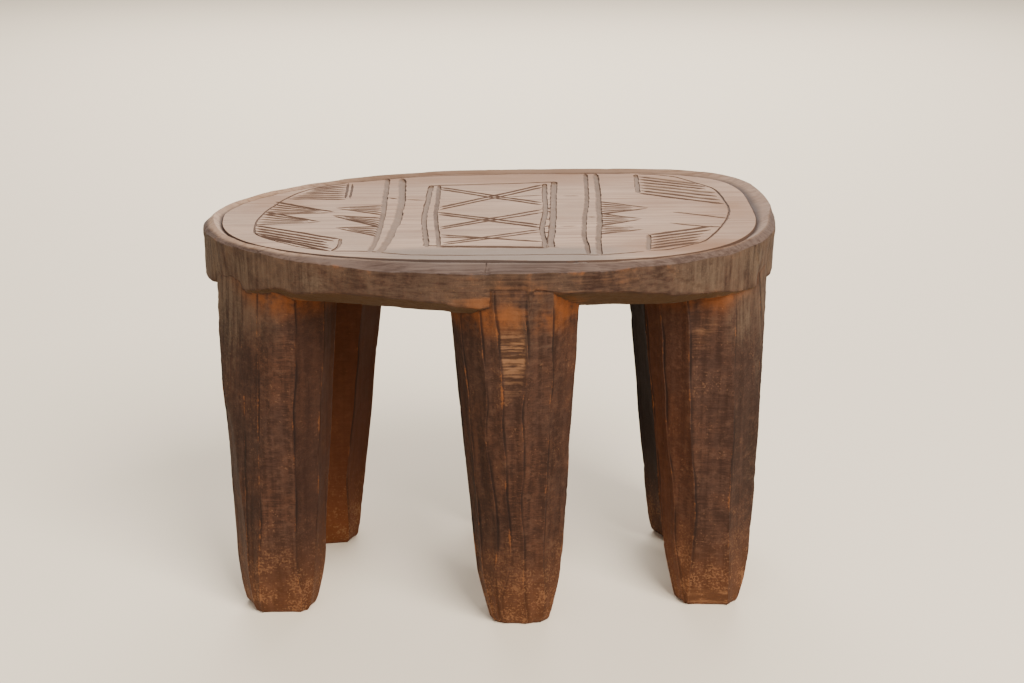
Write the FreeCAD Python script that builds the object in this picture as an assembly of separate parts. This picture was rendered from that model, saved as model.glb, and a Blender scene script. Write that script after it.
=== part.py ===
import FreeCAD, Part
import math
import os

# Carved hardwood stool: a thick oval seat with a carved panel, on six faceted legs.
# Millimetres, +Z up. The origin is on the floor, under the middle of the seat.
# +X runs to the right end of the seat and +Y to its back, as seen from the front.

# Seat, seen from above
seat_length = 430.0
seat_width = 250.0
# How blunt each corner of an oval is: 2 gives an ellipse and more gives a squarer corner
seat_bluntness = {"back right": 4.5, "back left": 1.83, "front left": 1.91, "front right": 2.27}

# Carved panel, set in from the seat's edge by a different width on each side
panel_inset_left = 15.0
panel_inset_right = 14.5
panel_inset_front = 18.5
panel_inset_back = 8.5
panel_bluntness = {"back right": 4.4, "back left": 1.83, "front left": 2.5, "front right": 3.4}

# Seat, seen in section from the floor up
seat_height = 295.0
under_bevel_height = 14.0
under_bevel_at_sides = 20.0
under_bevel_at_ends = 3.0
edge_band_height = 18.0
rim_drop = 7.0
cove_depth = 4.2
panel_drop = 2.0
# The rim's crest, as a share of the way from the seat's edge to the panel's, which grows
# towards the front and the left, and the cove's floor, as a share of the way back to the crest
crest_share = 0.43
crest_share_to_front = 0.17
crest_share_to_left = 0.085
cove_floor_share = 0.16

# Legs: faceted, widest under the seat, drawn in slowly to the ankle and faster to the foot
ankle_height = 45.0
leg_top_depth = 79.0
ankle_width = 62.0
ankle_depth = 59.0
foot_width = 44.6
foot_depth = 44.0
# The legs are trimmed to the seat's outline, drawn in by the inset at the seat's top
# and let out by the flare as far below the floor as that is above it
leg_limit_inset = 4.4
leg_limit_flare = 28.4

# Each leg's middle, measured in from the seat's end and side, or from the middle of its length,
# how far the foot steps from under that middle, and the directions that its facets face
legs = {
    "leg_front_left": {
        "from_left_end": 57.0,
        "from_front": 85.0,
        "foot_step": (-4.0, -16.0),
        "top_width": 88.0,
        "facets": (-156, -127, -93, -59, -25, 15, 60, 105, 150),
    },
    "leg_front_centre": {
        "from_middle": 16.0,
        "from_front": 39.0,
        "foot_step": (4.0, 7.0),
        "top_width": 95.5,
        "facets": (-155, -129, -110, -95, -78, -46, -5, 45, 90, 135, 180),
    },
    "leg_front_right": {
        "from_right_end": 55.0,
        "from_front": 87.0,
        "foot_step": (7.0, -17.0),
        "top_width": 95.0,
        "facets": (-150, -121, -85, -38, 0, 40, 85, 130, 170),
    },
    "leg_back_left": {
        "from_left_end": 90.0,
        "from_back": 59.0,
        "foot_step": (-9.0, -3.0),
        "top_width": 93.0,
        "facets": (-150, -115, -80, -30, 10, 50, 90, 130, 170),
    },
    "leg_back_centre": {
        "from_middle": 16.0,
        "from_back": 41.0,
        "foot_step": (5.0, -5.0),
        "top_width": 92.0,
        "facets": (-165, -125, -90, -50, -15, 25, 60, 90, 120, 155),
    },
    "leg_back_right": {
        "from_right_end": 58.0,
        "from_back": 65.0,
        "foot_step": (8.0, -5.0),
        "top_width": 95.0,
        "facets": (-155, -125, -90, -50, -10, 30, 70, 110, 150),
    },
}

# Carving: V strokes on the panel, as points along each stroke from the seat's middle.
# They are drawn on a seat of the given size and stretch with the seat.
drawn_length = 430.0
drawn_width = 250.0
broad_width = 5.0
broad_depth = 1.7
fine_width = 2.4
fine_depth = 1.1
band_strokes = (
    ((-87, -83), (-82, -22), (-80, 51), (-79, 101)),
    ((-80, -85), (-72.5, -33), (-68, 22), (-67.5, 103)),
    ((68.5, -95), (69.5, -30), (77, 50), (80, 111)),
    ((76, -96), (78.5, -51), (84, 20), (88, 112)),
)
frame_strokes = (
    ((-47, -74), (-49, -10), (-44, 85)),
    ((-38.5, -72), (-40.5, 0), (-38, 84)),
    ((38, -77), (38.5, -35), (43, 11), (46, 86)),
    ((43, -78), (46, -30), (50.5, 41), (54, 92)),
)
frame_closing_strokes = (
    ((-46, 84), (56, 91)),
    ((-38, -72), (36, -77)),
)
cross_strokes = (
    ((-37, 79), (41, 34)),
    ((-37, 73), (41, 28)),
    ((-37.5, 24), (44, 83)),
    ((-37.5, 18), (44, 76.5)),
    ((-39.5, 12), (38, -24)),
    ((-38, 6), (37.5, -30)),
    ((-37.5, -27), (40, 15.5)),
    ((-37.5, -31), (40, 8)),
    ((-36.5, -45.5), (37, -64.5)),
    ((-35.5, -65), (36, -35)),
)
arc_strokes = (
    ((-110, 94.5), (-131.5, 83), (-145.5, 70), (-156.5, 51), (-166, 28), (-174.5, -11), (-171, -40.5),
     (-159.5, -54), (-139, -70), (-115.5, -81)),
    ((121, 112), (139, 109), (153, 101), (166, 86.5), (177, 70), (183, 29), (183, 9), (171.5, -32),
     (154.5, -67), (140, -78), (125, -86), (112.5, -87)),
)
fan_bars = (
    ((-110.5, 51), (-110, 93)),
    ((-115, -81), (-109.5, -52)),
    ((118, 58), (121, 110.5)),
    ((111.5, -87), (115.5, -50)),
)
# Each fan runs from one line to another, in the given number of strokes
fans = (
    {"start": ((-112, 85), (-112, 50)), "end": ((-138, 75), (-152, 52)), "strokes": 4},
    {"start": ((-170, -21), (-165, -44)), "end": ((-112, -53), (-117, -78)), "strokes": 4},
    {"start": ((123, 101), (120, 60)), "end": ((166, 80), (179, 27)), "strokes": 4},
    {"start": ((117, -53), (115, -81)), "end": ((165, -33), (150, -66)), "strokes": 4},
)
# Each triangle has a stroke from both ends and from the middle of its base to its point
triangles = (
    {"base": ((-161, 39), (-166, 12)), "point": (-118, 14)},
    {"base": ((-168, 12), (-172, -14)), "point": (-127, -10.5)},
    {"base": ((-84, 29), (-84, 7)), "point": (-116, 25)},
    {"base": ((-85, -2), (-84, -24)), "point": (-118, 6)},
    {"base": ((-85, -26), (-86, -46)), "point": (-114, -26)},
    {"base": ((88, 34), (86, 6)), "point": (121, 17.5)},
    {"base": ((86, 2), (84, -24)), "point": (114, -11)},
    {"base": ((84, -27), (83, -47)), "point": (114, -36)},
)

half_length = seat_length / 2
half_width = seat_width / 2
rim_low_height = seat_height - rim_drop
band_low_height = rim_low_height - edge_band_height
under_height = band_low_height - under_bevel_height
panel_height = seat_height - panel_drop
panel_half_length = half_length - (panel_inset_left + panel_inset_right) / 2
panel_half_width = half_width - (panel_inset_front + panel_inset_back) / 2
panel_middle = ((panel_inset_left - panel_inset_right) / 2, (panel_inset_front - panel_inset_back) / 2)
points_per_corner = 10
turns = [math.pi / 2 * step / points_per_corner for step in range(4 * points_per_corner)]


def oval_point(turn, length, width, bluntness):
    along, across = math.cos(turn), math.sin(turn)
    corner = ("back " if across >= 0 else "front ") + ("right" if along >= 0 else "left")
    power = 2 / bluntness[corner]
    x = math.copysign(abs(along) ** power, along) * length
    y = math.copysign(abs(across) ** power, across) * width
    return FreeCAD.Vector(x, y, 0)


def ring(points, height):
    """One smooth closed curve through points, at a height."""
    curve = Part.BSplineCurve()
    curve.interpolate(Points=[FreeCAD.Vector(p.x, p.y, height) for p in points], PeriodicFlag=True)
    return Part.Wire(curve.toShape())


def seat_edge(inset_at_ends, inset_at_sides):
    length, width = half_length - inset_at_ends, half_width - inset_at_sides
    return [oval_point(turn, length, width, seat_bluntness) for turn in turns]


def panel_edge():
    shift = FreeCAD.Vector(*panel_middle, 0)
    return [oval_point(turn, panel_half_length, panel_half_width, panel_bluntness) + shift for turn in turns]


def rim_crest():
    points = []
    for turn, outer, inner in zip(turns, seat_edge(0, 0), panel_edge()):
        share = crest_share - crest_share_to_front * math.sin(turn) - crest_share_to_left * math.cos(turn)
        points.append(outer + (inner - outer) * share)
    return points


def cove_floor():
    return [inner + (crest - inner) * cove_floor_share for inner, crest in zip(panel_edge(), rim_crest())]


def flat_face(corners):
    return Part.Face(Part.makePolygon(corners + corners[:1]))


def groove(start, end, width, depth):
    """A V-shaped cutter that stands as far above the panel as it cuts below, where it is width wide."""
    run = end - start
    side = run.cross(FreeCAD.Vector(0, 0, 1)).normalize()
    rise = FreeCAD.Vector(0, 0, depth)
    spread = side * width
    return flat_face([start + rise - spread, start - rise, start + rise + spread]).extrude(run)


def stroke_cutters(points, width, depth):
    stretch_length, stretch_width = seat_length / drawn_length, seat_width / drawn_width
    spots = [FreeCAD.Vector(x * stretch_length, y * stretch_width, panel_height) for x, y in points]
    return [groove(start, end, width, depth) for start, end in zip(spots, spots[1:])]


def part_way(line, share):
    (from_x, from_y), (to_x, to_y) = line
    return (from_x + (to_x - from_x) * share, from_y + (to_y - from_y) * share)


def fan_strokes(fan):
    shares = [stroke / (fan["strokes"] - 1) for stroke in range(fan["strokes"])]
    return [(part_way(fan["start"], share), part_way(fan["end"], share)) for share in shares]


def triangle_strokes(triangle):
    return [(part_way(triangle["base"], share), triangle["point"]) for share in (0, 0.5, 1)]


def carved_grooves():
    fine = list(frame_closing_strokes + cross_strokes + arc_strokes + fan_bars)
    for fan in fans:
        fine += fan_strokes(fan)
    for triangle in triangles:
        fine += triangle_strokes(triangle)
    cutters = []
    for points in band_strokes + frame_strokes:
        cutters += stroke_cutters(points, broad_width, broad_depth)
    for points in fine:
        cutters += stroke_cutters(points, fine_width, fine_depth)
    return cutters


def make_slab():
    sections = [
        ring(seat_edge(under_bevel_at_ends, under_bevel_at_sides), under_height),
        ring(seat_edge(0, 0), band_low_height),
        ring(seat_edge(0, 0), rim_low_height),
        ring(rim_crest(), seat_height),
        ring(cove_floor(), seat_height - cove_depth),
        ring(panel_edge(), panel_height),
    ]
    return Part.makeLoft(sections, True, True)


def carve(slab):
    for cutter in carved_grooves():
        slab = slab.cut(cutter)
    return slab


def facet_distance(direction, width, depth):
    return math.hypot(width / 2 * math.cos(direction), depth / 2 * math.sin(direction))


def leg_section(middle, width, depth, facets, height):
    """The corners of a polygon with one side square to each facet's direction."""
    corners = []
    directions = [math.radians(facet) for facet in facets]
    for here, following in zip(directions, directions[1:] + directions[:1]):
        near = facet_distance(here, width, depth)
        far = facet_distance(following, width, depth)
        spread = math.sin(following - here)
        x = (near * math.sin(following) - far * math.sin(here)) / spread
        y = (far * math.cos(here) - near * math.cos(following)) / spread
        corners.append(FreeCAD.Vector(middle.x + x, middle.y + y, height))
    return corners


def faceted_column(sections):
    """A closed solid of flat facets through polygons that have the same number of corners."""
    faces = [flat_face(sections[0]), flat_face(sections[-1])]
    for low, high in zip(sections, sections[1:]):
        for corner in range(len(low)):
            beside = corner - 1
            faces.append(flat_face([low[beside], low[corner], high[corner], high[beside]]))
    return Part.Solid(Part.Shell(faces))


def leg_middle(leg):
    if "from_left_end" in leg:
        x = leg["from_left_end"] - half_length
    elif "from_right_end" in leg:
        x = half_length - leg["from_right_end"]
    else:
        x = leg["from_middle"]
    y = leg["from_front"] - half_width if "from_front" in leg else half_width - leg["from_back"]
    return FreeCAD.Vector(x, y, 0)


def leg_limit():
    """The space that the legs stay in: inside the seat's edge at the top, wider towards the floor."""
    wide = ring(seat_edge(-leg_limit_flare, -leg_limit_flare), -seat_height)
    narrow = ring(seat_edge(leg_limit_inset, leg_limit_inset), seat_height)
    return Part.makeLoft([wide, narrow], True, True)


def make_leg(leg, slab):
    top = leg_middle(leg)
    foot = top + FreeCAD.Vector(*leg["foot_step"], 0)
    ankle = foot + (top - foot) * (ankle_height / band_low_height)
    facets = leg["facets"]
    column = faceted_column([
        leg_section(foot, foot_width, foot_depth, facets, 0),
        leg_section(ankle, ankle_width, ankle_depth, facets, ankle_height),
        leg_section(top, leg["top_width"], leg_top_depth, facets, band_low_height),
    ])
    return column.common(leg_limit()).cut(slab)


os.makedirs("parts", exist_ok=True)
slab = make_slab()
pieces = {"seat": carve(slab)}
for name, leg in legs.items():
    pieces[name] = make_leg(leg, slab)
for name, piece in pieces.items():
    print(name, len(piece.Solids), piece.isValid(), round(piece.Volume), len(piece.Faces))
    piece.exportStep("parts/" + name + ".step")
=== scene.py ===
import math
import random

import bmesh
import bpy
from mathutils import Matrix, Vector, noise


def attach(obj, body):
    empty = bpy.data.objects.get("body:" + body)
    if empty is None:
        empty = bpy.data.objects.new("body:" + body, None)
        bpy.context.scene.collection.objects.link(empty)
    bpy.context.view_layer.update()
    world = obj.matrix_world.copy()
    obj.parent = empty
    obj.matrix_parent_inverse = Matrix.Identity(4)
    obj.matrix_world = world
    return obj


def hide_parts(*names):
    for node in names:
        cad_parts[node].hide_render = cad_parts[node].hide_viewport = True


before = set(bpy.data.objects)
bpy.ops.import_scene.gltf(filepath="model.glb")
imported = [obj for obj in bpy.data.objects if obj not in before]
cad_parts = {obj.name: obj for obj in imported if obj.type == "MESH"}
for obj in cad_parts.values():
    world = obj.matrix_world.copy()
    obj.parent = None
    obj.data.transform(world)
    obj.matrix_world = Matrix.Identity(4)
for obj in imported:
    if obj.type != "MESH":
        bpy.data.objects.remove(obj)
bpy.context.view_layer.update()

# A carved hardwood stool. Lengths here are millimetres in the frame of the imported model,
# and each mesh is scaled to metres as the last step before it becomes an object.
perMetre = 1000.0
dice = random.Random(7)


def clamp(value, low=0.0, high=1.0):
    return max(low, min(high, value))


def ease(value, low, high):
    t = clamp((value - low) / (high - low))
    return t * t * (3 - 2 * t)


def ripple(x, y, z, size):
    return noise.noise(Vector((x / size, y / size, z / size)))


def chopped(point, size, seed):
    # flat tool marks: each cell of the surface tilts its own way
    spot = Vector((point.x / size, point.y / size, point.z / size + seed))
    heart = noise.voronoi(spot)[1][0]
    return (spot - heart).dot(noise.cell_vector(heart * 7.3))


def prism(bm, sides, rings):
    # an upright prism in the given bmesh, as (vertex, side number, ring number)
    count = len(bm.verts)
    bmesh.ops.create_cone(bm, cap_ends=True, cap_tris=False, segments=sides,
                          radius1=1, radius2=1, depth=1)
    fresh = list(bm.verts)[count:]
    uprights = {e for v in fresh for e in v.link_edges
                if abs(e.verts[0].co.z - e.verts[1].co.z) > 0.5}
    bmesh.ops.subdivide_edges(bm, edges=list(uprights), cuts=rings - 2, use_grid_fill=True)
    placed = []
    for v in list(bm.verts)[count:]:
        side = round(math.atan2(v.co.x, v.co.y) / (2 * math.pi) * sides) % sides
        placed.append((v, side, round((v.co.z + 0.5) * (rings - 1))))
    return placed


def makeObject(name, bm):
    mesh = bpy.data.meshes.new(name)
    bm.to_mesh(mesh)
    bm.free()
    made = bpy.data.objects.new(name, mesh)
    bpy.context.scene.collection.objects.link(made)
    return made


def cutAway(piece, cutter):
    tool = piece.modifiers.new("cut", "BOOLEAN")
    tool.operation = "DIFFERENCE"
    tool.solver = "MANIFOLD"
    tool.object = cutter
    graph = bpy.context.evaluated_depsgraph_get()
    carved = bpy.data.meshes.new_from_object(piece.evaluated_get(graph))
    piece.modifiers.clear()
    old = piece.data
    piece.data = carved
    bpy.data.meshes.remove(old)


def discard(thing):
    mesh = thing.data
    bpy.data.objects.remove(thing)
    bpy.data.meshes.remove(mesh)


def settle(piece, bm, crease):
    # smooth shading that breaks at edges sharper than the crease angle, then metres
    for face in bm.faces:
        face.smooth = True
    for edge in bm.edges:
        edge.smooth = edge.calc_face_angle(0) < math.radians(crease)
    bmesh.ops.scale(bm, vec=(1 / perMetre,) * 3, verts=bm.verts)
    bm.to_mesh(piece.data)
    bm.free()
    piece.data.update()


seatShape = {
    "halfLength": 215.0,
    "halfWidth": 125.0,
    "bluntness": {"backRight": 4.5, "backLeft": 1.83, "frontLeft": 1.91, "frontRight": 2.27},
    "rightSwell": (3.0, 20.0, 28.0),  # the right end stands out here: how far, where across, reach
    "panelHalfLength": 200.25,
    "panelHalfWidth": 110.75,
    "panelMiddle": (0.25, 5.75),
    # the panel's front edge comes nearer towards the right, in its left and right half
    "panelTilt": (0.03, 0.105),
    "panelBluntness": {"backRight": 4.4, "backLeft": 1.83, "frontLeft": 2.55, "frontRight": 2.4},
    "underside": 256.0,
    "endDroop": 2.6,         # the underside hangs lower at both ends
    "bevelRun": 1.25,        # how far its bevel runs in for each millimetre that it drops
    "bandLow": 270.0,        # low edge of the band along the back
    "bandLowAtEnds": 255.5,
    # low edge of the band along the front: place along the seat, height
    "bandLowFront": [(-215, 255.5), (-186, 258), (-150, 266.5), (-144, 265.5), (-107, 269.5),
                     (-81, 270), (-37, 267.5), (-26, 264.5), (0, 262.5), (3, 256.6), (25, 256.6),
                     (28, 277), (54, 273.7), (90, 272.5), (120, 268.5), (132, 265), (157, 262.5),
                     (187, 256.8), (215, 255.5)],
    # where the front legs run up into the band without a step: start, end, how deep, run-in
    "flush": [(-209, -190, 3.2, 7), (-197, -177, 5.2, 7), (-16, 27, 4.6, 18), (195, 213, 3.8, 7)],
    "flushRunOut": 7.0,
    "bandTop": 288.3,
    "chipsFrom": 0.3,        # chips in the band's top edge: a higher start gives fewer
    "chipDepth": 4.0,
    "crest": 294.8,          # top of the rim
    "frontDip": 1.6,         # the rim is worn lower along the front
    # the crest's share of the way from the seat's edge to the panel's, and how that changes
    "crestShare": 0.43,
    "crestToFront": 0.17,
    "crestToLeft": 0.085,
    "crestOutBackRight": 0.2,
    "coveFloor": 290.9,
    "coveShare": 0.16,       # the cove's floor, as a share of the way from the panel to the crest
    "panel": 293.0,
    "topFrom": 284.0,        # what lies higher belongs to the top
    "around": 640,
    "ringsPerStep": (7, 15, 7, 5, 3),
    "roundedSteps": (2.0, 3.0, 5.0),
    "sideRoughness": 0.9,
    "topRoughness": 0.35,
    "gridStep": 6.0,         # of the grid on the panel and the underside
    "gridShift": 0.37,       # keeps its lines off the outline's points
    "crease": 16,
}


def cornerName(along, across):
    return ("back" if across >= 0 else "front") + ("Right" if along >= 0 else "Left")


def ovalPoint(turn, halfLength, halfWidth, bluntness):
    along, across = math.cos(turn) * halfLength, math.sin(turn) * halfWidth
    power = bluntness[cornerName(along, across)]
    reach = (abs(along / halfLength) ** power + abs(across / halfWidth) ** power) ** (1 / power)
    return Vector((along / reach, across / reach, 0))


def ovalReach(x, y, halfLength, halfWidth, bluntness):
    # 1 on the outline and less inside it
    power = bluntness[cornerName(x, y)]
    return (abs(x / halfLength) ** power + abs(y / halfWidth) ** power) ** (1 / power)


def seatOutline(turn):
    edge = ovalPoint(turn, seatShape["halfLength"], seatShape["halfWidth"], seatShape["bluntness"])
    swell, across, reach = seatShape["rightSwell"]
    if edge.x > 0:
        edge.x += swell * math.exp(-((edge.y - across) / reach) ** 2)
    return edge


def panelOutline(turn):
    edge = ovalPoint(turn, seatShape["panelHalfLength"], seatShape["panelHalfWidth"],
                     seatShape["panelBluntness"])
    edge.y += panelLean(edge.x, edge.y)
    return edge + Vector((*seatShape["panelMiddle"], 0))


def panelLean(x, y):
    return seatShape["panelTilt"][x > 0] * x * min(0, y) / seatShape["panelHalfWidth"]


def insidePanel(x, y):
    x -= seatShape["panelMiddle"][0]
    y -= seatShape["panelMiddle"][1]
    return ovalReach(x, y - panelLean(x, y), seatShape["panelHalfLength"],
                     seatShape["panelHalfWidth"], seatShape["panelBluntness"])


def profileHeight(points, place):
    # the height at a place on a line of (place, height) points
    for (start, low), (end, high) in zip(points, points[1:]):
        if place <= end:
            return low + (high - low) * ease(place, start, end)
    return points[-1][1]


def bandLowEdge(spot):
    reach = abs(spot.x) / seatShape["halfLength"]
    if spot.y < 0:
        low = profileHeight(seatShape["bandLowFront"], spot.x)
    else:
        low = seatShape["bandLow"] - (seatShape["bandLow"] - seatShape["bandLowAtEnds"]) * reach ** 3.2
    low += 0.7 * ripple(spot.x, spot.y, 3, 30)
    return max(low, seatShape["underside"] + 0.6 - seatShape["endDroop"] * reach ** 6)


def seatStations(turn):
    edge = seatOutline(turn)
    panelEdge = panelOutline(turn)
    right, back = math.cos(turn), math.sin(turn)
    inward = (panelEdge - edge).normalized()
    low = bandLowEdge(edge)
    chip = max(0, ripple(edge.x, edge.y, 11, 9) - seatShape["chipsFrom"]) * seatShape["chipDepth"]
    tuck = 0.3 + max(0, right) ** 2
    if back < 0:
        for start, end, deep, runIn in seatShape["flush"]:
            runOut = ease(end - edge.x, 0, seatShape["flushRunOut"])
            tuck += deep * ease(edge.x, start, start + runIn) * runOut
    under = edge + inward * (tuck + 0.7 + seatShape["bevelRun"] * (low - seatShape["underside"]))
    under.z = seatShape["underside"] + 0.4 * ripple(edge.x, edge.y, 5, 20)
    under.z -= seatShape["endDroop"] * (abs(edge.x) / seatShape["halfLength"]) ** 6
    bandFoot = edge + inward * tuck
    bandFoot.z = low
    bandHead = edge + inward * (0.6 * chip + 0.5 * ripple(edge.x, edge.y, 7, 14))
    bandHead.z = seatShape["bandTop"] + 1.5 * ripple(edge.x, edge.y, 1, 26) - chip
    bandHead.z += 1.2 * ease(-right, 0.2, 0.7) * ease(-back, 0, 0.4)
    share = seatShape["crestShare"] - seatShape["crestToFront"] * back - seatShape["crestToLeft"] * right
    share -= seatShape["crestOutBackRight"] * ease(right, 0.1, 0.5) * ease(back, -0.15, 0.15)
    crest = edge.lerp(panelEdge, share)
    crest.z = seatShape["crest"] + 0.5 * ripple(edge.x, edge.y, 9, 22)
    crest.z -= seatShape["frontDip"] * ease(-back, 0, 0.5)
    coveFoot = panelEdge.lerp(crest, seatShape["coveShare"])
    coveFoot.z = seatShape["coveFloor"] + 0.4 * ripple(edge.x, edge.y, 13, 15)
    panelEdge.z = seatShape["panel"]
    return [under, bandFoot, bandHead, crest, coveFoot, panelEdge]


def seatBlank():
    bm = bmesh.new()
    zone = bm.verts.layers.float.new("zone")
    levels = [0.0]
    for step, rings in enumerate(seatShape["ringsPerStep"]):
        levels += [step + (k + 1) / rings for k in range(rings)]
    stations = {}
    placed = prism(bm, seatShape["around"], len(levels))
    for v, side, ring in placed:
        turn = 2 * math.pi * side / seatShape["around"]
        if side not in stations:
            stations[side] = seatStations(turn)
        level = levels[ring]
        step = min(int(level), len(stations[side]) - 2)
        v.co = stations[side][step].lerp(stations[side][step + 1], level - step)
        v[zone] = level
    bmesh.ops.recalc_face_normals(bm, faces=bm.faces)
    rounded = [v for v, side, ring in placed if levels[ring] in seatShape["roundedSteps"]]
    bmesh.ops.smooth_vert(bm, verts=rounded, factor=0.5, use_axis_x=True, use_axis_y=True, use_axis_z=True)
    for v, side, ring in placed:
        roughness = seatShape["sideRoughness" if v[zone] < 2.5 else "topRoughness"]
        v.co += v.normal * roughness * (0.55 * chopped(v.co, 24, 2) + 0.3 * ripple(*v.co, 6))
    # the two caps get a grid, so the panel and the underside can wave a little
    for cap in [f for f in bm.faces if len(f.verts) > 10]:
        isUnder = abs(cap.calc_center_median().z - seatShape["underside"]) < 5
        region = [cap] + cap.edges[:] + cap.verts[:]
        for axis, half in ((0, seatShape["halfLength"]), (1, seatShape["halfWidth"])):
            count = int(2 * half / seatShape["gridStep"])
            for k in range(1, count):
                middle, normal = Vector(), Vector()
                middle[axis] = -half + 2 * half * k / count + seatShape["gridShift"]
                normal[axis] = 1
                made = bmesh.ops.bisect_plane(bm, geom=region, dist=0.001, plane_co=middle, plane_no=normal)
                region = made["geom"]
        for v in {g for g in region if isinstance(g, bmesh.types.BMVert)}:
            if isUnder and len(v.link_faces) == 4 and all(f in region for f in v.link_faces):
                v.co.z += 1.1 * chopped(v.co, 26, 4)
            elif not isUnder and insidePanel(v.co.x, v.co.y) < 0.985:
                v.co.z += panelWave(v.co.x, v.co.y)
    bmesh.ops.recalc_face_normals(bm, faces=bm.faces)
    return bm


def panelWave(x, y):
    return 0.3 * ripple(x / 3, y, 21, 16) + 0.15 * ripple(x / 4, y, 31, 5)


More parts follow.
